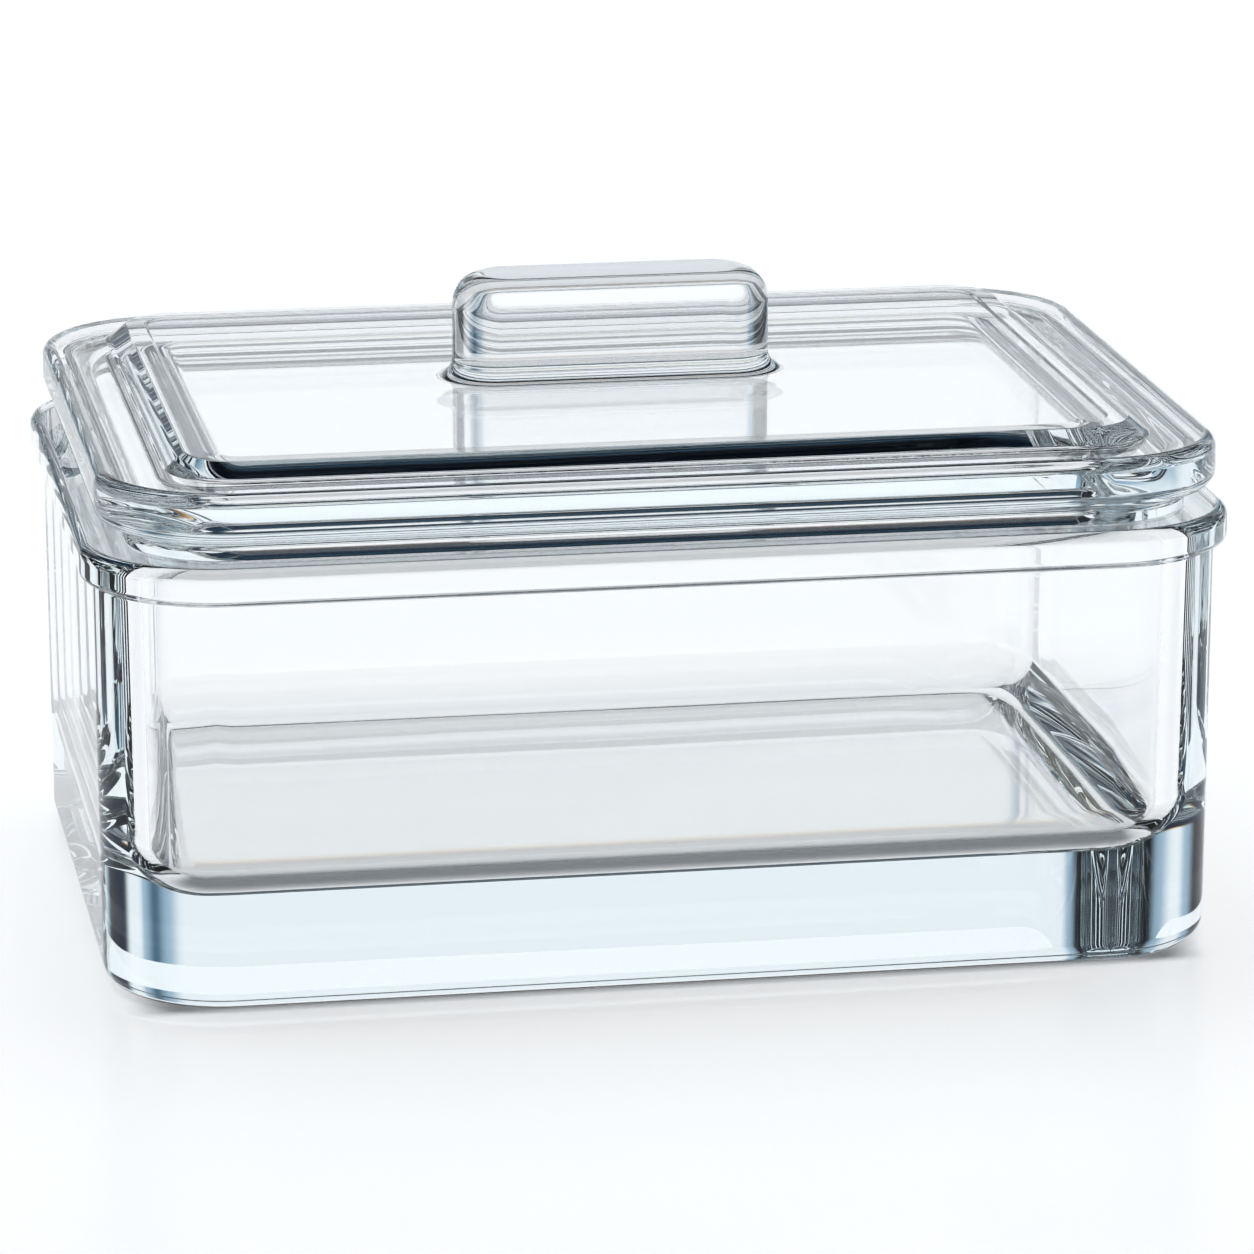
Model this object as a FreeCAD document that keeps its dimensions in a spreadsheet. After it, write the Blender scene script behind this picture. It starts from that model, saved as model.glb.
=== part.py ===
import FreeCAD, Part
import math
import os
import Sketcher

# Glass slide staining jar: a pressed rectangular dish with a bead round its rim, and a
# pressed lid with a raised centre, a solid bar handle and a locating ring underneath.
# Frame: the dish stands on the XY plane, centred on the origin, with its long side
# along X, its front towards -Y and +Z up. Everything is in millimetres.

doc = FreeCAD.newDocument("staining_jar")

# ---------------------------------------------------------------- driving dimensions
sizes = doc.addObject("Spreadsheet::Sheet", "Sizes")
TABLE = [
    # the dish's outer wall, at its foot
    ("dish_width", 104.0),
    ("dish_depth", 75.4),
    ("dish_corner", 11.4),
    ("dish_draft", 0.35),        # degrees, the wall leans out towards the rim
    ("foot_round", 2.12),         # rounding of the bottom edge
    # the bead round the rim
    ("rim_height", 41.8),        # from the table to the top of the rim
    ("bead_width", 106.9),
    ("bead_depth", 78.3),
    ("bead_corner", 12.7),
    ("bead_tall", 3.35),
    ("bead_round", 1.19),
    ("bead_low_round", 0.82),
    # the space inside
    ("cavity_width", 94.4),      # at the mouth
    ("cavity_depth", 63.4),
    ("cavity_corner", 5.6),
    ("cavity_draft", 0.58),       # degrees, the space narrows towards the floor
    ("floor_thick", 9.14),
    ("floor_cove", 4.9),         # rounding between floor and walls
    ("mouth_round", 1.84),
    # the lid's flange
    ("lid_width", 104.0),
    ("lid_depth", 78.8),
    ("lid_corner", 12.4),
    ("lid_under", 43.9),         # height of the flange's underside
    ("flange_thick", 4.78),
    ("flange_top_round", 1.29),
    ("flange_low_round", 1.58),
    # the seat under the flange, which stands on the rim
    ("seat_inset", 3.28),         # from the flange's long sides
    ("seat_inset_end", 2.85),     # from its short ends
    ("seat_cove", 1.0),           # where the seat meets the flange's underside
    ("seat_round", 0.14),
    # the raised centre of the lid
    ("raise_inset", 5.31),        # from the flange's long sides
    ("raise_inset_end", 6.5),     # from its short ends
    ("raise_corner", 6.8),
    ("raise_tall", 1.51),
    ("raise_slope", 48.7),       # degrees off vertical, the wall of the raised part
    ("raise_round", 0.3),
    ("raise_foot", 0.96),         # cove where the raised part stands on the flange
    ("rib_inset", 9.07),
    ("rib_inset_end", 10.1),
    ("rib_corner", 3.4),
    ("panel_drop", 0.19),         # the panel inside the rib lies this much lower
    # the ring under the lid that drops into the dish
    ("ring_width", 91.5),
    ("ring_depth", 59.5),
    ("ring_corner", 4.6),
    ("ring_tall", 1.215),
    ("ring_draft", 4.2),
    ("ring_round", 1.3),
    ("hollow_width", 83.3),
    ("hollow_depth", 52.4),
    ("hollow_corner", 3.6),
    ("hollow_ceiling", 43.8),    # height of the panel's underside
    ("hollow_cove", 1.75),
    # the bar handle
    ("grip_length", 30.4),
    ("grip_thick", 8.4),
    ("grip_top", 59.8),
    ("grip_plan_round", 4.0),
    ("grip_end_round", 3.1),
    ("grip_edge_round", 1.2),
    ("grip_base_cove", 1.7),
]
for row, (alias, value) in enumerate(TABLE, start=1):
    sizes.set("A%d" % row, alias)
    sizes.set("B%d" % row, str(value))
    sizes.setAlias("B%d" % row, alias)
doc.recompute()
V = dict(TABLE)


# ---------------------------------------------------------------- helpers
def plane(body, role):
    """One of the body's own origin planes."""
    for feature in body.Origin.OriginFeatures:
        if feature.Role == role:
            return feature
    raise RuntimeError("no plane " + role)


def new_sketch(body, name, role, height=None):
    """A sketch on an origin plane; height is an expression for its offset along the plane's normal."""
    sk = body.newObject("Sketcher::SketchObject", name)
    sk.AttachmentSupport = [(plane(body, role), "")]
    sk.MapMode = "FlatFace"
    if height is not None:
        sk.setExpression("AttachmentOffset.Base.z", height)
    return sk


def rounded_rectangle(sk, width, depth, corner):
    """Centred rectangle with round corners. width, depth and corner are (starting value, expression)."""
    a, b, r = width[0] / 2.0, depth[0] / 2.0, corner[0]
    P = FreeCAD.Vector
    Z = P(0, 0, 1)
    sk.addGeometry([
        Part.LineSegment(P(-a + r, b, 0), P(a - r, b, 0)),
        Part.LineSegment(P(a, b - r, 0), P(a, -b + r, 0)),
        Part.LineSegment(P(a - r, -b, 0), P(-a + r, -b, 0)),
        Part.LineSegment(P(-a, -b + r, 0), P(-a, b - r, 0)),
        Part.ArcOfCircle(Part.Circle(P(a - r, b - r, 0), Z, r), 0.0, math.pi / 2),
        Part.ArcOfCircle(Part.Circle(P(a - r, -b + r, 0), Z, r), -math.pi / 2, 0.0),
        Part.ArcOfCircle(Part.Circle(P(-a + r, -b + r, 0), Z, r), math.pi, 1.5 * math.pi),
        Part.ArcOfCircle(Part.Circle(P(-a + r, b - r, 0), Z, r), math.pi / 2, math.pi),
    ], False)
    C = Sketcher.Constraint
    sk.addConstraint([
        C("Tangent", 0, 2, 4, 2), C("Tangent", 4, 1, 1, 1),
        C("Tangent", 1, 2, 5, 2), C("Tangent", 5, 1, 2, 1),
        C("Tangent", 2, 2, 6, 2), C("Tangent", 6, 1, 3, 1),
        C("Tangent", 3, 2, 7, 2), C("Tangent", 7, 1, 0, 1),
        C("Horizontal", 0), C("Horizontal", 2), C("Vertical", 1), C("Vertical", 3),
        C("Equal", 4, 5), C("Equal", 5, 6), C("Equal", 6, 7),
        C("Symmetric", 6, 3, 4, 3, -1, 1),
    ])
    for name, kind, args, (value, expression) in (
        ("across", "DistanceX", (3, 1, 1, 1), width),
        ("along", "DistanceY", (2, 1, 0, 1), depth),
        ("corner", "Radius", (4,), corner),
    ):
        i = sk.addConstraint(C(kind, *(args + (value,))))
        sk.renameConstraint(i, name)
        sk.setExpression("Constraints." + name, expression)


def pad(body, name, sk, length, taper=None, down=False, twoside=False):
    f = body.newObject("PartDesign::Pad", name)
    f.Profile = sk
    f.setExpression("Length", length)
    if taper is not None:
        f.setExpression("TaperAngle", taper)
    f.Reversed = down
    f.Midplane = twoside
    doc.recompute()
    return f


def pocket(body, name, sk, length, taper=None, up=False, twoside=False):
    """A cut; the volume has to fall, so a cut that points away from the solid is caught here."""
    before = body.Shape.Volume
    f = body.newObject("PartDesign::Pocket", name)
    f.Profile = sk
    f.setExpression("Length", length)
    if taper is not None:
        f.setExpression("TaperAngle", taper)
    f.Reversed = up
    f.Midplane = twoside
    doc.recompute()
    if not body.Shape.Volume < before - 1.0:
        raise RuntimeError(name + " removed nothing")
    return f


def edges_where(body, test):
    """Names of the edges of the body's present shape that pass test(edge, lowest, highest)."""
    names = []
    for i, e in enumerate(body.Shape.Edges, start=1):
        box = e.BoundBox
        if test(e, box):
            names.append("Edge%d" % i)
    if not names:
        raise RuntimeError("no edge found on " + body.Label)
    return names


def fillet(body, name, names, radius):
    base = body.Tip
    f = body.newObject("PartDesign::Fillet", name)
    f.Base = (base, names)
    f.setExpression("Radius", radius)
    doc.recompute()
    return f


def level(z, tol=1e-3):
    return lambda box: abs(box.ZMin - z) < tol and abs(box.ZMax - z) < tol


def S(alias):
    return "Sizes." + alias


# ---------------------------------------------------------------- dish
dish = doc.addObject("PartDesign::Body", "Dish")
dish.Label = "dish"

# the block of the wall, leaning out a little from foot to rim
sk = new_sketch(dish, "FootOutline", "XY_Plane")
rounded_rectangle(sk, (V["dish_width"], S("dish_width")), (V["dish_depth"], S("dish_depth")), (V["dish_corner"], S("dish_corner")))
pad(dish, "WallBlock", sk, S("rim_height"), taper=S("dish_draft"))

# the bead round the rim
sk = new_sketch(dish, "BeadOutline", "XY_Plane", S("rim_height"))
rounded_rectangle(sk, (V["bead_width"], S("bead_width")), (V["bead_depth"], S("bead_depth")), (V["bead_corner"], S("bead_corner")))
pad(dish, "Bead", sk, S("bead_tall"), down=True)

# the space inside, cut down from the rim
sk = new_sketch(dish, "MouthOutline", "XY_Plane", S("rim_height"))
rounded_rectangle(sk, (V["cavity_width"], S("cavity_width")), (V["cavity_depth"], S("cavity_depth")), (V["cavity_corner"], S("cavity_corner")))
pocket(dish, "Cavity", sk, "Sizes.rim_height - Sizes.floor_thick", taper="-Sizes.cavity_draft")

zrim, zbead = V["rim_height"], V["rim_height"] - V["bead_tall"]
half_w, half_d = V["cavity_width"] / 2 + 0.1, V["cavity_depth"] / 2 + 0.1
fillet(dish, "FloorCove", edges_where(dish, lambda e, b: level(V["floor_thick"])(b)), S("floor_cove"))
fillet(dish, "FootRound", edges_where(dish, lambda e, b: level(0.0)(b)), S("foot_round"))
fillet(dish, "BeadTop", edges_where(dish, lambda e, b: level(zrim)(b) and (max(abs(b.XMin), abs(b.XMax)) > half_w and max(abs(b.YMin), abs(b.YMax)) > half_d)), S("bead_round"))
on_bead = lambda b: max(abs(b.XMin), abs(b.XMax)) > V["bead_width"] / 2 - 1e-3 or max(abs(b.YMin), abs(b.YMax)) > V["bead_depth"] / 2 - 1e-3
fillet(dish, "BeadUnder", edges_where(dish, lambda e, b: level(zbead)(b) and on_bead(b)), S("bead_low_round"))
fillet(dish, "MouthRound", edges_where(dish, lambda e, b: level(zrim)(b) and max(abs(b.XMin), abs(b.XMax)) < half_w and max(abs(b.YMin), abs(b.YMax)) < half_d), S("mouth_round"))

# ---------------------------------------------------------------- lid
lid = doc.addObject("PartDesign::Body", "Lid")
lid.Label = "lid"

sk = new_sketch(lid, "FlangeOutline", "XY_Plane", S("lid_under"))
rounded_rectangle(sk, (V["lid_width"], S("lid_width")), (V["lid_depth"], S("lid_depth")), (V["lid_corner"], S("lid_corner")))
pad(lid, "Flange", sk, S("flange_thick"))
ztop = V["lid_under"] + V["flange_thick"]
fillet(lid, "FlangeTop", edges_where(lid, lambda e, b: level(ztop)(b)), S("flange_top_round"))
fillet(lid, "FlangeUnder", edges_where(lid, lambda e, b: level(V["lid_under"])(b)), S("flange_low_round"))

# the seat that stands on the rim
sk = new_sketch(lid, "SeatOutline", "XY_Plane", S("lid_under"))
rounded_rectangle(sk,
    (V["lid_width"] - 2 * V["seat_inset_end"], "Sizes.lid_width - 2 * Sizes.seat_inset_end"),
    (V["lid_depth"] - 2 * V["seat_inset"], "Sizes.lid_depth - 2 * Sizes.seat_inset"),
    (V["lid_corner"] - V["seat_inset"], "Sizes.lid_corner - Sizes.seat_inset"))
pad(lid, "Seat", sk, "Sizes.lid_under - Sizes.rim_height", down=True)
fillet(lid, "SeatRound", edges_where(lid, lambda e, b: level(zrim)(b)), S("seat_round"))
seat_w, seat_d = V["lid_width"] / 2 - V["seat_inset_end"], V["lid_depth"] / 2 - V["seat_inset"]
fillet(lid, "SeatCove", edges_where(lid, lambda e, b: level(V["lid_under"])(b) and max(abs(b.XMin), abs(b.XMax)) < seat_w + 0.01 and max(abs(b.YMin), abs(b.YMax)) < seat_d + 0.01), S("seat_cove"))

# the raised centre
sk = new_sketch(lid, "RaiseOutline", "XY_Plane", "Sizes.lid_under + Sizes.flange_thick")
rounded_rectangle(sk,
    (V["lid_width"] - 2 * V["raise_inset_end"], "Sizes.lid_width - 2 * Sizes.raise_inset_end"),
    (V["lid_depth"] - 2 * V["raise_inset"], "Sizes.lid_depth - 2 * Sizes.raise_inset"),
    (V["raise_corner"], S("raise_corner")))
pad(lid, "Raise", sk, S("raise_tall"), taper="-Sizes.raise_slope")
zraise = ztop + V["raise_tall"]
fillet(lid, "RaiseRound", edges_where(lid, lambda e, b: level(zraise)(b)), S("raise_round"))

raise_w, raise_d = V["lid_width"] / 2 - V["raise_inset_end"], V["lid_depth"] / 2 - V["raise_inset"]
fillet(lid, "RaiseFoot", edges_where(lid, lambda e, b: level(ztop)(b) and max(abs(b.XMin), abs(b.XMax)) < raise_w + 0.01 and max(abs(b.YMin), abs(b.YMax)) < raise_d + 0.01), S("raise_foot"))

# the panel inside the rib
sk = new_sketch(lid, "PanelOutline", "XY_Plane", "Sizes.lid_under + Sizes.flange_thick + Sizes.raise_tall")
rounded_rectangle(sk,
    (V["lid_width"] - 2 * V["rib_inset_end"], "Sizes.lid_width - 2 * Sizes.rib_inset_end"),
    (V["lid_depth"] - 2 * V["rib_inset"], "Sizes.lid_depth - 2 * Sizes.rib_inset"),
    (V["rib_corner"], S("rib_corner")))
pocket(lid, "Panel", sk, S("panel_drop"), taper="-45")
zpanel = zraise - V["panel_drop"]

# the locating ring: a block that drops into the mouth, then the hollow inside it
sk = new_sketch(lid, "RingOutline", "XY_Plane", S("rim_height"))
rounded_rectangle(sk, (V["ring_width"], S("ring_width")), (V["ring_depth"], S("ring_depth")), (V["ring_corner"], S("ring_corner")))
pad(lid, "Ring", sk, S("ring_tall"), taper="-Sizes.ring_draft", down=True)
zring = zrim - V["ring_tall"]
fillet(lid, "RingRound", edges_where(lid, lambda e, b: level(zring)(b)), S("ring_round"))

sk = new_sketch(lid, "HollowOutline", "XY_Plane", "Sizes.rim_height - Sizes.ring_tall")
rounded_rectangle(sk, (V["hollow_width"], S("hollow_width")), (V["hollow_depth"], S("hollow_depth")), (V["hollow_corner"], S("hollow_corner")))
pocket(lid, "Hollow", sk, "Sizes.hollow_ceiling - Sizes.rim_height + Sizes.ring_tall", taper="-Sizes.ring_draft", up=True)
fillet(lid, "HollowCove", edges_where(lid, lambda e, b: level(V["hollow_ceiling"])(b)), S("hollow_cove"))
fillet(lid, "RingInner", edges_where(lid, lambda e, b: level(zring)(b) and max(abs(b.XMin), abs(b.XMax)) < V["hollow_width"] / 2 + 0.01), S("ring_round"))

# the bar handle, one piece with the lid
sk = new_sketch(lid, "GripPlan", "XY_Plane", "Sizes.lid_under + Sizes.flange_thick + Sizes.raise_tall - Sizes.panel_drop")
rounded_rectangle(sk, (V["grip_length"], S("grip_length")), (V["grip_thick"], S("grip_thick")), (V["grip_plan_round"], S("grip_plan_round")))
pad(lid, "Grip", sk, "Sizes.grip_top - 1.5 * Sizes.grip_end_round - (Sizes.lid_under + Sizes.flange_thick + Sizes.raise_tall - Sizes.panel_drop)")

# the handle's crown: its ends are rounded wide and its long edges narrow, so it is lofted
# through outlines that draw in by two different quarter rounds
rend, redge = V["grip_end_round"], V["grip_edge_round"]
sections = []
for k, degrees in enumerate((-20, 0, 18, 36, 52, 66, 78, 88)):
    if degrees <= 0:
        drop = rend - rend * degrees / 40.0 if degrees < 0 else rend
        x_in, x_expr = 0.0, "0"
        z_expr = "Sizes.grip_top - %g * Sizes.grip_end_round" % (drop / rend)
        y_in, y_expr = 0.0, "0"
    else:
        t = math.radians(degrees)
        drop = rend * (1 - math.sin(t))
        x_in = rend * (1 - math.cos(t))
        x_expr = "Sizes.grip_end_round * %.6f" % (1 - math.cos(t))
        z_expr = "Sizes.grip_top - Sizes.grip_end_round * %.6f" % (1 - math.sin(t))
        lift = max(0.0, redge - drop)
        y_in = redge - math.sqrt(redge * redge - lift * lift)
        y_expr = "Sizes.grip_edge_round - sqrt(Sizes.grip_edge_round ^ 2 - max(0; Sizes.grip_edge_round - Sizes.grip_end_round * %.6f) ^ 2)" % (1 - math.sin(t))
    sk = new_sketch(lid, "Crown%d" % k, "XY_Plane", z_expr)
    rounded_rectangle(sk,
        (V["grip_length"] - 2 * x_in, "Sizes.grip_length - 2 * (%s)" % x_expr),
        (V["grip_thick"] - 2 * y_in, "Sizes.grip_thick - 2 * (%s)" % y_expr),
        (V["grip_plan_round"] - 0.5 * x_in, "Sizes.grip_plan_round - 0.5 * (%s)" % x_expr))
    sections.append(sk)
doc.recompute()
loft = lid.newObject("PartDesign::AdditiveLoft", "GripCrown")
loft.Profile = sections[0]
loft.Sections = sections[1:]
loft.Ruled = False
doc.recompute()

# the cove round the handle's foot
zfoot = V["lid_under"] + V["flange_thick"] + V["raise_tall"] - V["panel_drop"]
fillet(lid, "GripCove", edges_where(lid, lambda e, b: level(zfoot)(b) and max(abs(b.XMin), abs(b.XMax)) < V["grip_length"] / 2 + 0.01 and max(abs(b.YMin), abs(b.YMax)) < V["grip_thick"] / 2 + 0.01), S("grip_base_cove"))

doc.recompute()

# ---------------------------------------------------------------- checks and files
bad = [o.Name for o in doc.Objects if any(s in ("Invalid", "Error") for s in o.State)]
if bad:
    raise RuntimeError("features failed: " + ", ".join(bad))

os.makedirs("parts", exist_ok=True)
for body in (dish, lid):
    body.Placement = FreeCAD.Placement(FreeCAD.Vector(0, 0, 0), FreeCAD.Rotation())
    shape = body.Shape
    if shape.isNull() or not shape.isValid() or len(shape.Solids) != 1:
        raise RuntimeError(body.Label + " is not one valid solid")
    box = shape.optimalBoundingBox(True, False)
    print("%-6s volume %9.1f mm3  x %.2f..%.2f  y %.2f..%.2f  z %.2f..%.2f" % (
        body.Label, shape.Volume, box.XMin, box.XMax, box.YMin, box.YMax, box.ZMin, box.ZMax))
for body in (dish, lid):
    body.Shape.exportStep("parts/" + body.Label + ".step")
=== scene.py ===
import math

import bpy
import numpy as np
from mathutils import Matrix, Vector


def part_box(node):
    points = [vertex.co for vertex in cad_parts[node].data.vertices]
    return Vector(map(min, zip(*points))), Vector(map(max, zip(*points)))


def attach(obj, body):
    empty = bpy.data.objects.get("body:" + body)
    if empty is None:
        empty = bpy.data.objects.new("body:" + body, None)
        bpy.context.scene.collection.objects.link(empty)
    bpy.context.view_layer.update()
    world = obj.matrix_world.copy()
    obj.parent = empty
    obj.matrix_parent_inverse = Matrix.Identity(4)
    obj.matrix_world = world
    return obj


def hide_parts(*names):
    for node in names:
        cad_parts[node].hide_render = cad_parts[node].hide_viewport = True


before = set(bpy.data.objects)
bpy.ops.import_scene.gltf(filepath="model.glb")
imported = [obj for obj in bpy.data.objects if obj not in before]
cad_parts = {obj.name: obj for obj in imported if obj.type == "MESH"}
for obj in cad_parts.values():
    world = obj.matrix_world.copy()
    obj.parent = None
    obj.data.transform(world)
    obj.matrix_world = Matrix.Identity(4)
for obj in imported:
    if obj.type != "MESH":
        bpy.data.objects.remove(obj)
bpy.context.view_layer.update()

# Clear pressed-glass staining jar: a dish and a loose lid. Each is one closed mesh swept
# through rounded-rectangle outlines. Lengths below are in millimetres until mesh() scales them.
MM = 0.001
scene = bpy.context.scene

# ------------------------------------------------------------------ outlines
CORNER, LONG, SHORT = 22, 34, 24          # steps in a corner, a long side and a short side
AROUND = 4 * CORNER + 2 * LONG + 2 * SHORT


def outline(width, depth, corner):
    """Points round a rounded rectangle, anticlockwise from the right side's lower end, with their outward directions."""
    a, b, r = width / 2.0, depth / 2.0, max(corner, 0.02)
    pts, out = [], []

    def side(x0, y0, x1, y1, nx, ny, steps):
        for i in range(steps):
            t = i / steps
            pts.append((x0 + (x1 - x0) * t, y0 + (y1 - y0) * t))
            out.append((nx, ny))

    def bend(cx, cy, start):
        for i in range(CORNER):
            t = start + math.pi / 2 * i / CORNER
            pts.append((cx + r * math.cos(t), cy + r * math.sin(t)))
            out.append((math.cos(t), math.sin(t)))

    side(a, -b + r, a, b - r, 1, 0, SHORT)
    bend(a - r, b - r, 0.0)
    side(a - r, b, -a + r, b, 0, 1, LONG)
    bend(-a + r, b - r, math.pi / 2)
    side(-a, b - r, -a, -b + r, -1, 0, SHORT)
    bend(-a + r, -b + r, math.pi)
    side(-a + r, -b, a - r, -b, 0, -1, LONG)
    bend(a - r, -b + r, 1.5 * math.pi)
    return np.array(pts), np.array(out)


def loop(family, u, z, nu, nz):
    """One ring of the sweep: the family's outline moved out by u, at height z, with normal (nu outwards, nz up)."""
    width, depth, corner = family
    p, n = outline(width + 2 * u, depth + 2 * u, corner + u)
    length = math.hypot(nu, nz)
    return (np.c_[p, np.full(AROUND, z)],
            np.c_[n * (nu / length), np.full(AROUND, nz / length)])


def lerp(a, b, steps):
    """Rings between two rings on a flat stretch."""
    rings = []
    for i in range(1, steps):
        t = i / steps
        n = a[1] * (1 - t) + b[1] * t
        n /= np.linalg.norm(n, axis=1)[:, None]
        rings.append((a[0] * (1 - t) + b[0] * t, n))
    return rings


def path(family, corners, straight=3.0, first_out=False):
    """Rings along a run of straight stretches with round corners. corners: (u, z, radius, steps)."""
    rings = []
    pts = [np.array(c[:2], float) for c in corners]
    last = None
    for i, (u, z, r, steps) in enumerate(corners):
        if i in (0, len(corners) - 1):
            j = 1 if i == 0 else i - 1
            d = (pts[1] - pts[0]) if i == 0 else (pts[i] - pts[i - 1])
            d = d / np.linalg.norm(d)
            arc = [(pts[i], d)]
        else:
            d1 = pts[i] - pts[i - 1]
            d2 = pts[i + 1] - pts[i]
            d1, d2 = d1 / np.linalg.norm(d1), d2 / np.linalg.norm(d2)
            turn = math.atan2(d1[0] * d2[1] - d1[1] * d2[0], float(d1 @ d2))
            t = r * math.tan(abs(turn) / 2)
            s = 1.0 if turn > 0 else -1.0
            left = np.array([-d1[1], d1[0]])
            centre = pts[i] - d1 * t + left * r * s
            arc = []
            for k in range(steps + 1):
                a = turn * k / steps
                d = np.array([d1[0] * math.cos(a) - d1[1] * math.sin(a), d1[0] * math.sin(a) + d1[1] * math.cos(a)])
                arc.append((centre - np.array([-d[1], d[0]]) * r * s, d))
        if last is not None:
            gap = np.linalg.norm(arc[0][0] - last[0])
            n = int(gap / straight)
            for k in range(1, n + 1):
                t = k / (n + 1)
                q = last[0] * (1 - t) + arc[0][0] * t
                rings.append(loop(family, q[0], q[1], last[1][1], -last[1][0]))
        for q, d in arc:
            rings.append(loop(family, q[0], q[1], d[1], -d[0]))
        last = arc[-1]
    return rings


def shrink(ring, levels):
    """Rings that draw a flat ring in towards the middle."""
    c = np.array([0.0, 0.0, 1.0])
    rings = []
    for s in levels:
        p = ring[0].copy()
        p[:, :2] *= s
        rings.append((p, ring[1].copy()))
    return rings


# ------------------------------------------------------------------ the slow waves left by pressing
rng = np.random.default_rng(20)
WAVES = []
for _ in range(14):
    d = rng.normal(size=3)
    d /= np.linalg.norm(d)
    wavelength = rng.uniform(20.0, 60.0)
    WAVES.append((d * 2 * math.pi / wavelength, rng.uniform(0, 2 * math.pi), wavelength))


def wavy(points, normals, slope, phase):
    """Sinks the surface by a few hundredths of a millimetre in slow waves, and turns its normals to match."""
    total = np.zeros(len(points))
    grad = np.zeros((len(points), 3))
    reach = 0.0
    for k, ph, wl in WAVES:
        a = slope * wl / (2 * math.pi) / math.sqrt(len(WAVES) / 2)
        t = points @ k + ph + phase
        total += a * np.sin(t)
        grad += a * np.cos(t)[:, None] * k
        reach += a
    n = normals - (grad - (grad * normals).sum(1)[:, None] * normals)
    n /= np.linalg.norm(n, axis=1)[:, None]
    return points + normals * (total - reach)[:, None] * 0.5, n


def mesh(name, rings, slope, phase):
    """One closed mesh from the rings, with its ends filled, and with the normals given."""
    p = np.concatenate([r[0] for r in rings])
    n = np.concatenate([r[1] for r in rings])
    p, n = wavy(p, n, slope, phase)
    faces = []
    for i in range(len(rings) - 1):
        a, b = i * AROUND, (i + 1) * AROUND
        for j in range(AROUND):
            k = (j + 1) % AROUND
            faces.append((a + j, a + k, b + k, b + j))
    faces.append(tuple(reversed(range(AROUND))))
    last = (len(rings) - 1) * AROUND
    faces.append(tuple(range(last, last + AROUND)))
    me = bpy.data.meshes.new(name)
    me.from_pydata((p * MM).tolist(), [], faces)
    me.validate()
    me.polygons.foreach_set("use_smooth", [True] * len(me.polygons))
    me.normals_split_custom_set_from_vertices(n.tolist())
    me.update()
    ob = bpy.data.objects.new(name, me)
    scene.collection.objects.link(ob)
    return ob


# ------------------------------------------------------------------ dish
d_low, d_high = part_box("dish")
RIM = d_high.z / MM
WALL = (104.0, 75.4, 11.4)                 # outline of the outer wall at the foot
FOOT_ROUND = 2.12
OUT = (d_high.x - d_low.x) / 2 / MM - WALL[0] / 2   # how far the bead stands out from the foot outline
LEAN = math.tan(math.radians(0.35))
BEAD_TALL, BEAD_ROUND, BEAD_LOW = 3.35, 1.19, 0.82
MOUTH = (94.4, 63.4, 5.6)                  # outline of the space inside, at the rim
MOUTH_ROUND, COVE = 1.84, 4.9
DRAFT = math.tan(math.radians(0.58))
FLOOR = 9.14

under = RIM - BEAD_TALL
dish_rings = path(WALL, [
    (-9.0, 0.0, 0, 0),
    (0.0, 0.0, FOOT_ROUND, 12),
    (under * LEAN, under, 0.45, 5),
    (OUT, under, BEAD_LOW, 8),
    (OUT, RIM, BEAD_ROUND, 12),
    (OUT - 1.9, RIM, 0, 0),
])
start = dish_rings[0]
dish_rings = shrink(start, (0.08, 0.3, 0.55, 0.8)) + dish_rings
inner = path(MOUTH, [
    (1.9, RIM, 0, 0),
    (0.0, RIM, MOUTH_ROUND, 10),
    (-(RIM - FLOOR) * DRAFT, FLOOR, COVE, 18),
    (-9.0, FLOOR, 0, 0),
])
dish_rings += lerp(dish_rings[-1], inner[0], 2) + inner
dish_rings += shrink(inner[-1], (0.8, 0.55, 0.3, 0.08))
dish = mesh("dish_glass", dish_rings, 0.0012, 0.0)

# ------------------------------------------------------------------ lid
l_low, l_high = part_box("lid")
FLANGE = ((l_high.x - l_low.x) / MM, (l_high.y - l_low.y) / MM, 12.4)
BELOW, THICK = 43.9, 4.78
EDGE_TOP, EDGE_LOW = 1.29, 1.58
NECK, NECK_ROUND = 3.28, 0.14
NECK_END, NECK_COVE = 2.85, 1.0
TOP = BELOW + THICK
SEAT_OUT = (FLANGE[0] - 2 * NECK_END, FLANGE[1] - 2 * NECK, FLANGE[2] - NECK)
SEAT = RIM + 0.05                          # a film of air stays between lid and rim
RAISE_IN, RAISE_TALL, SLOPE = 5.31, 1.51, math.tan(math.radians(48.7))
RAISE_END, RIB_END = 6.5, 10.1               # insets from the short ends
RAISE_ROUND, RAISE_FOOT = 0.3, 0.96
RAISE = (FLANGE[0] - 2 * RAISE_END, FLANGE[1] - 2 * RAISE_IN, 6.8)
RISE = TOP + RAISE_TALL
RIB_IN, DROP = 9.07, 0.19
PANEL_OUT = (FLANGE[0] - 2 * RIB_END, FLANGE[1] - 2 * RIB_IN, 3.4)
PANEL = RISE - DROP
RING = (91.5, 59.5, 4.6)
RING_LOW = l_low.z / MM
RING_ROUND = 1.3
HOLLOW = (83.3, 52.4, 3.6)
CEILING, HOLLOW_COVE = 43.8, 1.75
RT = math.tan(math.radians(4.2))
GRIP = (30.4, 8.4, 4.0)
GRIP_TOP = l_high.z / MM

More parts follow.
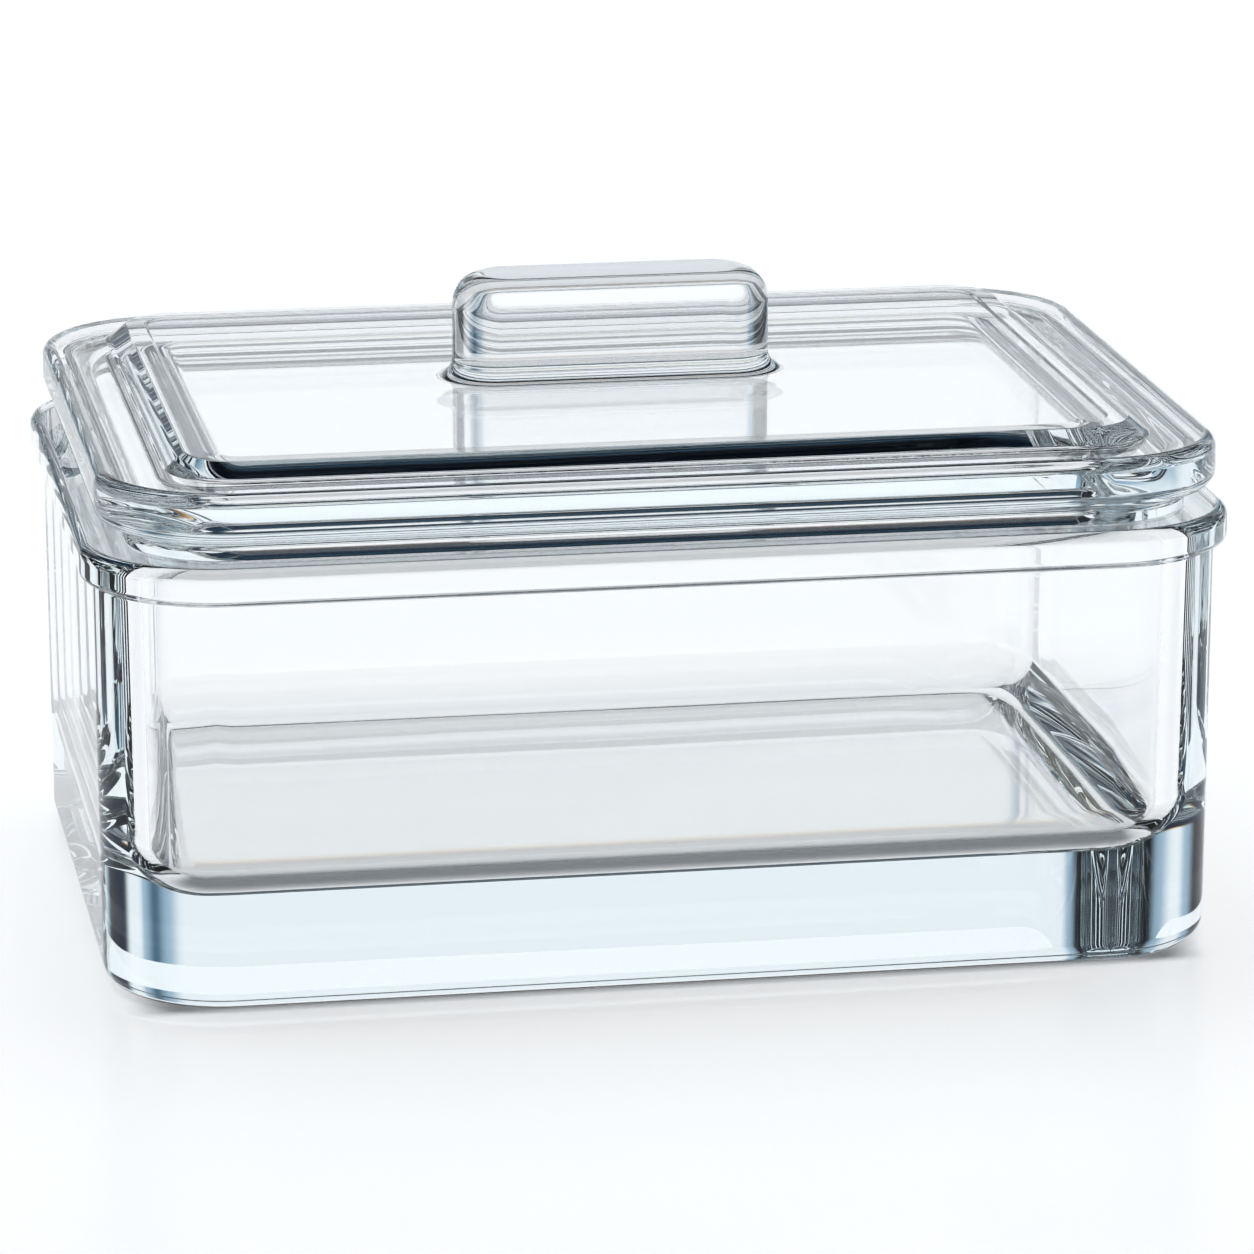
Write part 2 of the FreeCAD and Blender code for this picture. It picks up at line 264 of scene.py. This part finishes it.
hollow = path(HOLLOW, [
    (-8.0, CEILING, 0, 0),
    (-(CEILING - RING_LOW) * RT, CEILING, HOLLOW_COVE, 10),
    (0.0, RING_LOW, RING_ROUND, 8),
    (RING_ROUND + 0.1, RING_LOW, 0, 0),
])
ring = path(RING, [
    (-(RIM - RING_LOW) * RT - RING_ROUND - 0.1, RING_LOW, 0, 0),
    (-(RIM - RING_LOW) * RT, RING_LOW, RING_ROUND, 8),
    (0.0, SEAT, 0.4, 5),
    (1.0, SEAT, 0, 0),
])
seat = path(SEAT_OUT, [
    (-1.1, SEAT, 0, 0),
    (0.0, SEAT, NECK_ROUND, 5),
    (0.0, BELOW, NECK_COVE, 9),
    (NECK_COVE + 0.1, BELOW, 0, 0),
])
flange = path(FLANGE, [
    (-EDGE_LOW - 0.1, BELOW, 0, 0),
    (0.0, BELOW, EDGE_LOW, 12),
    (0.0, TOP, EDGE_TOP, 12),
    (-5.0, TOP, 0, 0),
])
raised = path(RAISE, [
    (0.9, TOP, 0, 0),
    (0.0, TOP, RAISE_FOOT, 6),
    (-RAISE_TALL * SLOPE, RISE, RAISE_ROUND, 6),
    (-RAISE_TALL * SLOPE - 0.9, RISE, 0, 0),
])
panel = path(PANEL_OUT, [
    (0.6, RISE, 0, 0),
    (0.0, RISE, 0.35, 5),
    (-DROP, PANEL, 0.35, 5),
    (-DROP - 1.3, PANEL, 0, 0),
])
foot = path(GRIP, [
    (2.6, PANEL, 0, 0),
    (0.0, PANEL, 1.7, 10),
    (0.0, GRIP_TOP - 3.9, 0, 0),
], straight=1.2)

# the handle's crown draws in by a wide round at its ends and a narrow one along its edges
rend, redge = 3.1, 1.2
crown = []
for k in range(22):
    t = math.radians(90.0 * k / 21)
    z = GRIP_TOP - rend * (1 - math.sin(t))
    x_in = rend * (1 - math.cos(t))
    lift = max(0.0, redge - rend * (1 - math.sin(t)))
    y_in = redge - math.sqrt(max(redge * redge - lift * lift, 0.0))
    p, n = outline(GRIP[0] - 2 * x_in, GRIP[1] - 2 * y_in, GRIP[2] - 0.5 * x_in)
    nx = math.cos(t)
    edge = math.asin(min(1.0, lift / redge))
    nz_end, nz_edge = math.sin(t), math.sin(edge)
    wx, wy = n[:, 0] ** 2, n[:, 1] ** 2
    nz = wx * nz_end + wy * nz_edge
    s = np.sqrt(np.clip(1 - nz ** 2, 0, 1))
    crown.append((np.c_[p, np.full(AROUND, z)], np.c_[n * s[:, None], nz]))

lid_rings = shrink(hollow[0], (0.08, 0.3, 0.55, 0.8)) + hollow
lid_rings += ring
lid_rings += lerp(ring[-1], seat[0], 3) + seat
lid_rings += lerp(seat[-1], flange[0], 2) + flange
lid_rings += raised
lid_rings += lerp(raised[-1], panel[0], 2) + panel
lid_rings += lerp(panel[-1], foot[0], 12) + foot
lid_rings += crown
lid_rings += shrink(crown[-1], (0.85, 0.6, 0.35, 0.1))
lid = mesh("lid_glass", lid_rings, 0.0004, 2.1)


# ------------------------------------------------------------------ glass
def node(nt, kind, where, **values):
    n = nt.nodes.new(kind)
    n.location = where
    for key, value in values.items():
        setattr(n, key, value)
    return n


def glass(name, seed):
    """Clear pressed glass: faint pressing ripple and grain in the surface, and a tint that grows with thickness."""
    m = bpy.data.materials.new(name)
    m.use_nodes = True
    nt = m.node_tree
    nt.nodes.clear()
    out = node(nt, "ShaderNodeOutputMaterial", (700, 0))
    p = node(nt, "ShaderNodeBsdfPrincipled", (400, 0))
    p.inputs["Base Color"].default_value = (1.0, 1.0, 1.0, 1.0)
    p.inputs["IOR"].default_value = 1.5
    p.inputs["Transmission Weight"].default_value = 1.0
    where = node(nt, "ShaderNodeTexCoord", (-1100, 0))
    # the ripple runs in long shallow streaks along the walls, as chilled glass flows in the mould
    lie = node(nt, "ShaderNodeMapping", (-900, -200))
    lie.inputs["Location"].default_value = (seed, seed * 0.7, -seed)
    lie.inputs["Scale"].default_value = (0.45, 0.45, 1.0)
    nt.links.new(where.outputs["Object"], lie.inputs["Vector"])
    ripple = node(nt, "ShaderNodeTexNoise", (-700, -200))
    ripple.inputs["Scale"].default_value = 150.0
    ripple.inputs["Detail"].default_value = 0.0
    nt.links.new(lie.outputs["Vector"], ripple.inputs["Vector"])
    relief = node(nt, "ShaderNodeBump", (150, -250))
    relief.inputs["Strength"].default_value = 1.0
    relief.inputs["Distance"].default_value = 0.000006
    nt.links.new(ripple.outputs[0], relief.inputs["Height"])
    nt.links.new(relief.outputs[0], p.inputs["Normal"])
    # fire-polished patches are mirror smooth, and the rest is a little duller from handling
    dull = node(nt, "ShaderNodeTexNoise", (-700, 150))
    dull.inputs["Scale"].default_value = 38.0
    dull.inputs["Detail"].default_value = 1.0
    nt.links.new(where.outputs["Object"], dull.inputs["Vector"])
    span = node(nt, "ShaderNodeMapRange", (-450, 150))
    span.inputs["From Min"].default_value = 0.5
    span.inputs["From Max"].default_value = 0.75
    span.inputs["To Min"].default_value = 0.0
    span.inputs["To Max"].default_value = 0.014
    nt.links.new(dull.outputs[0], span.inputs["Value"])
    nt.links.new(span.outputs["Result"], p.inputs["Roughness"])
    nt.links.new(p.outputs[0], out.inputs["Surface"])
    v = node(nt, "ShaderNodeVolumeAbsorption", (400, -300))
    v.inputs["Color"].default_value = (0.72, 0.90, 0.95, 1.0)
    v.inputs["Density"].default_value = 4.0
    nt.links.new(v.outputs[0], out.inputs["Volume"])
    return m


for ob, cad, slot, seed in ((dish, "dish", "dish_glass", 0.0), (lid, "lid", "lid_glass", 5.0)):
    ob.data.materials.append(glass("clear_glass_" + cad, seed))
    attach(ob, "root")
    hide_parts(cad)

# ------------------------------------------------------------------ studio
floor_me = bpy.data.meshes.new("floor")
floor_me.from_pydata([(-6, -6, -0.00006), (6, -6, -0.00006), (6, 6, -0.00006), (-6, 6, -0.00006)], [], [(0, 1, 2, 3)])
floor = bpy.data.objects.new("floor", floor_me)
scene.collection.objects.link(floor)
fm = bpy.data.materials.new("floor_white")
fm.use_nodes = True
ft = fm.node_tree
ft.nodes.clear()
paper = node(ft, "ShaderNodeBsdfDiffuse", (0, 200))
paper.inputs["Color"].default_value = (0.90, 0.90, 0.90, 1.0)
lit = node(ft, "ShaderNodeEmission", (0, 50))                # a light table, lit a little from below
lit.inputs["Color"].default_value = (1.0, 1.0, 1.0, 1.0)
at = node(ft, "ShaderNodeTexCoord", (-800, 50))
way = node(ft, "ShaderNodeSeparateXYZ", (-600, 50))
ft.links.new(at.outputs["Object"], way.inputs[0])
# painted contact shade: the table glows less in a soft strip right under the thick front wall, standing in for the
# shade there
ahead = node(ft, "ShaderNodeMath", (-450, -150), operation="MULTIPLY")
ahead.inputs[1].default_value = -1.0
ft.links.new(way.outputs["Y"], ahead.inputs[0])
aside = node(ft, "ShaderNodeMath", (-450, -550), operation="ABSOLUTE")
ft.links.new(way.outputs["X"], aside.inputs[0])
painted_shade_mask = None
for source, start, end, y in ((ahead, 0.0195, 0.0295, -150), (ahead, 0.0377, 0.0353, -350), (aside, 0.0510, 0.0460, -550)):
    edge_of = node(ft, "ShaderNodeMapRange", (-300, y), interpolation_type="SMOOTHSTEP")
    edge_of.inputs["From Min"].default_value = start
    edge_of.inputs["From Max"].default_value = end
    ft.links.new(source.outputs[0], edge_of.inputs["Value"])
    if painted_shade_mask is None:
        painted_shade_mask = edge_of.outputs["Result"]
        continue
    times = node(ft, "ShaderNodeMath", (-100, y), operation="MULTIPLY")
    ft.links.new(painted_shade_mask, times.inputs[0])
    ft.links.new(edge_of.outputs["Result"], times.inputs[1])
    painted_shade_mask = times.outputs[0]
# painted shade: inside the strip the table's glow falls to 0.28 of its strength
left = node(ft, "ShaderNodeMapRange", (50, -450))
left.inputs["To Min"].default_value = 1.0
left.inputs["To Max"].default_value = 0.28
ft.links.new(painted_shade_mask, left.inputs["Value"])
glow_with_painted_shade = node(ft, "ShaderNodeMath", (100, -150), operation="MULTIPLY")
glow_with_painted_shade.inputs[0].default_value = 0.70
ft.links.new(left.outputs["Result"], glow_with_painted_shade.inputs[1])
ft.links.new(glow_with_painted_shade.outputs[0], lit.inputs["Strength"])
both = node(ft, "ShaderNodeAddShader", (200, 150))
sheen = node(ft, "ShaderNodeBsdfGlossy", (0, -100))
sheen.inputs["Color"].default_value = (1.0, 1.0, 1.0, 1.0)
sheen.inputs["Roughness"].default_value = 0.24
blend = node(ft, "ShaderNodeMixShader", (400, 50))
blend.inputs[0].default_value = 0.08
top = node(ft, "ShaderNodeOutputMaterial", (600, 50))
ft.links.new(paper.outputs[0], both.inputs[0])
ft.links.new(lit.outputs[0], both.inputs[1])
ft.links.new(both.outputs[0], blend.inputs[1])
ft.links.new(sheen.outputs[0], blend.inputs[2])
ft.links.new(blend.outputs[0], top.inputs["Surface"])
floor_me.materials.append(fm)

# The studio round the dish: bright low down, with dark flags higher up and at the sides. Each
# belt of the sky has its own ramp round the compass, in degrees from straight behind (+Y),
# turning towards +X. Red is read a little lower and blue a little higher than green, which
# gives the dark edges in the glass the thin warm and cold fringes that thick glass gives.
world = bpy.data.worlds.new("studio")
scene.world = world
world.use_nodes = True
world.cycles.sampling_method = "NONE"        # the sky is soft enough to be found without a light map
wt = world.node_tree
wt.nodes.clear()
wo = node(wt, "ShaderNodeOutputWorld", (1400, 0))
bg = node(wt, "ShaderNodeBackground", (1200, 0))
tc = node(wt, "ShaderNodeTexCoord", (-1000, 0))
sp = node(wt, "ShaderNodeSeparateXYZ", (-800, 0))
wt.links.new(tc.outputs["Generated"], sp.inputs[0])
wt.links.new(bg.outputs[0], wo.inputs["Surface"])

PALE, HAZE = (0.93, 0.955, 0.98), (0.42, 0.55, 0.66)
CARD, STEEL, TEAL, NAVY = (0.22, 0.27, 0.31), (0.10, 0.19, 0.27), (0.012, 0.075, 0.13), (0.010, 0.030, 0.065)
BROWN, BLACK = (0.020, 0.017, 0.014), (0.005, 0.008, 0.012)
BELTS = (          # lowest height in degrees, half the width of its soft edge, colours round the compass
    (-90, 0, ((-180, CARD), (-160, CARD), (-140, NAVY), (-112, BLACK), (-104, STEEL), (-98, PALE), (-68, PALE), (-58, NAVY), (-24, BLACK), (-15, HAZE), (-9, PALE),
              (20, PALE), (25, HAZE), (29, STEEL), (33, HAZE), (36, PALE), (41, PALE), (46, NAVY), (62, BLACK), (72, HAZE), (78, PALE), (104, PALE), (112, STEEL), (130, NAVY), (160, CARD), (180, CARD))),
    (23, 2.5, ((-180, BLACK), (-120, BROWN), (-90, NAVY), (-60, TEAL), (-20, NAVY), (20, BLACK), (60, NAVY), (100, BROWN), (180, BLACK))),
    (56, 4.0, ((-180, NAVY), (-60, NAVY), (10, TEAL), (45, TEAL), (90, BLACK), (150, NAVY), (180, NAVY))),
)


def maths(kind, a, b, where):
    n = node(wt, "ShaderNodeMath", where, operation=kind)
    for i, v in enumerate((a, b)):
        if v is None:
            continue
        if isinstance(v, (int, float)):
            n.inputs[i].default_value = v
        else:
            wt.links.new(v, n.inputs[i])
    return n.outputs[0]


def compass(turn, stops, where):
    n = node(wt, "ShaderNodeValToRGB", where)
    n.color_ramp.interpolation = "EASE"
    el = n.color_ramp.elements
    while len(el) > 1:
        el.remove(el[-1])
    for i, (degrees, colour) in enumerate(stops):
        e = el[0] if i == 0 else el.new(degrees / 360.0 + 0.5)
        e.position = degrees / 360.0 + 0.5
        e.color = (*colour, 1)
    wt.links.new(turn, n.inputs[0])
    return n.outputs[0]


def sky(height, turn, y):
    """The sky's colour at a height in degrees, built up belt by belt."""
    colour = None
    for i, (low, soft, stops) in enumerate(BELTS):
        belt = compass(turn, stops, (-200 + 150 * i, y))
        if colour is None:
            colour = belt
            continue
        step = node(wt, "ShaderNodeMapRange", (-200 + 150 * i, y - 150), interpolation_type="SMOOTHSTEP")
        step.inputs["From Min"].default_value = low - soft
        step.inputs["From Max"].default_value = low + soft
        wt.links.new(height, step.inputs["Value"])
        n = node(wt, "ShaderNodeMix", (-200 + 150 * i, y - 300), data_type="RGBA")
        wt.links.new(step.outputs["Result"], n.inputs[0])          # the colour pair of a Mix node is its inputs 6 and 7
        wt.links.new(colour, n.inputs[6])
        wt.links.new(belt, n.inputs[7])
        colour = n.outputs[2]
    return colour


height = maths("MULTIPLY", maths("ARCSINE", sp.outputs["Z"], None, (-600, -100)), 180.0 / math.pi, (-450, -100))
turn = maths("ADD", maths("DIVIDE", maths("ARCTAN2", sp.outputs["X"], sp.outputs["Y"], (-600, 150)), 2 * math.pi, (-450, 150)), 0.5, (-300, 150))
FRINGE = 0.7
whole = node(wt, "ShaderNodeCombineColor", (1050, 0))
for i, (channel, shift) in enumerate((("Red", -FRINGE), ("Green", 0.0), ("Blue", FRINGE))):
    parts = node(wt, "ShaderNodeSeparateColor", (900, 300 - 300 * i))
    wt.links.new(sky(maths("ADD", height, shift, (-300, -600 * i)), turn, 900 - 700 * i), parts.inputs[0])
    wt.links.new(parts.outputs[channel], whole.inputs[channel])
wt.links.new(whole.outputs[0], bg.inputs["Color"])
bg.inputs["Strength"].default_value = 1.0

# a wide soft lamp over and behind the dish, which only whitens the floor and gives it a soft shadow
lamp_data = bpy.data.lights.new("overhead", "SUN")
lamp_data.energy = 0.94
lamp_data.angle = math.radians(62.0)
lamp = bpy.data.objects.new("overhead", lamp_data)
scene.collection.objects.link(lamp)
lamp.rotation_euler = Vector((0.04, -0.26, -0.96)).to_track_quat("-Z", "Y").to_euler()
lamp.visible_camera = lamp.visible_glossy = lamp.visible_transmission = False

# ------------------------------------------------------------------ camera
FOCAL_PX, YAW, PITCH, DIST, TX, TY = 6185.22, math.radians(-9.961), math.radians(14.952), 596.13, 1.59, -5.29
target = Vector((0.0, 0.0, 30.0))
back = Vector((math.sin(YAW) * math.cos(PITCH), -math.cos(YAW) * math.cos(PITCH), math.sin(PITCH)))
right = (-back).cross(Vector((0, 0, 1))).normalized()
up = right.cross(-back)
pos = (target + back * DIST + right * TX + up * TY) * MM
cam_data = bpy.data.cameras.new("camera")
cam = bpy.data.objects.new("camera", cam_data)
scene.collection.objects.link(cam)
m = Matrix((right, up, back)).transposed().to_4x4()
m.translation = pos
cam.matrix_world = m
cam_data.sensor_width = 36.0
cam_data.lens = FOCAL_PX * 36.0 / 1254.0
cam_data.clip_start, cam_data.clip_end = 0.01, 50.0
scene.camera = cam

scene.view_settings.view_transform = "Standard"
scene.view_settings.look = "None"
scene.view_settings.gamma = 0.74             # a little more contrast, with the whites kept
scene.cycles.max_bounces = 16
scene.cycles.transmission_bounces = 16
scene.cycles.glossy_bounces = 12
scene.cycles.diffuse_bounces = 3
scene.cycles.transparent_max_bounces = 16
scene.cycles.caustics_reflective = True
scene.cycles.caustics_refractive = True
scene.cycles.blur_glossy = 0.3
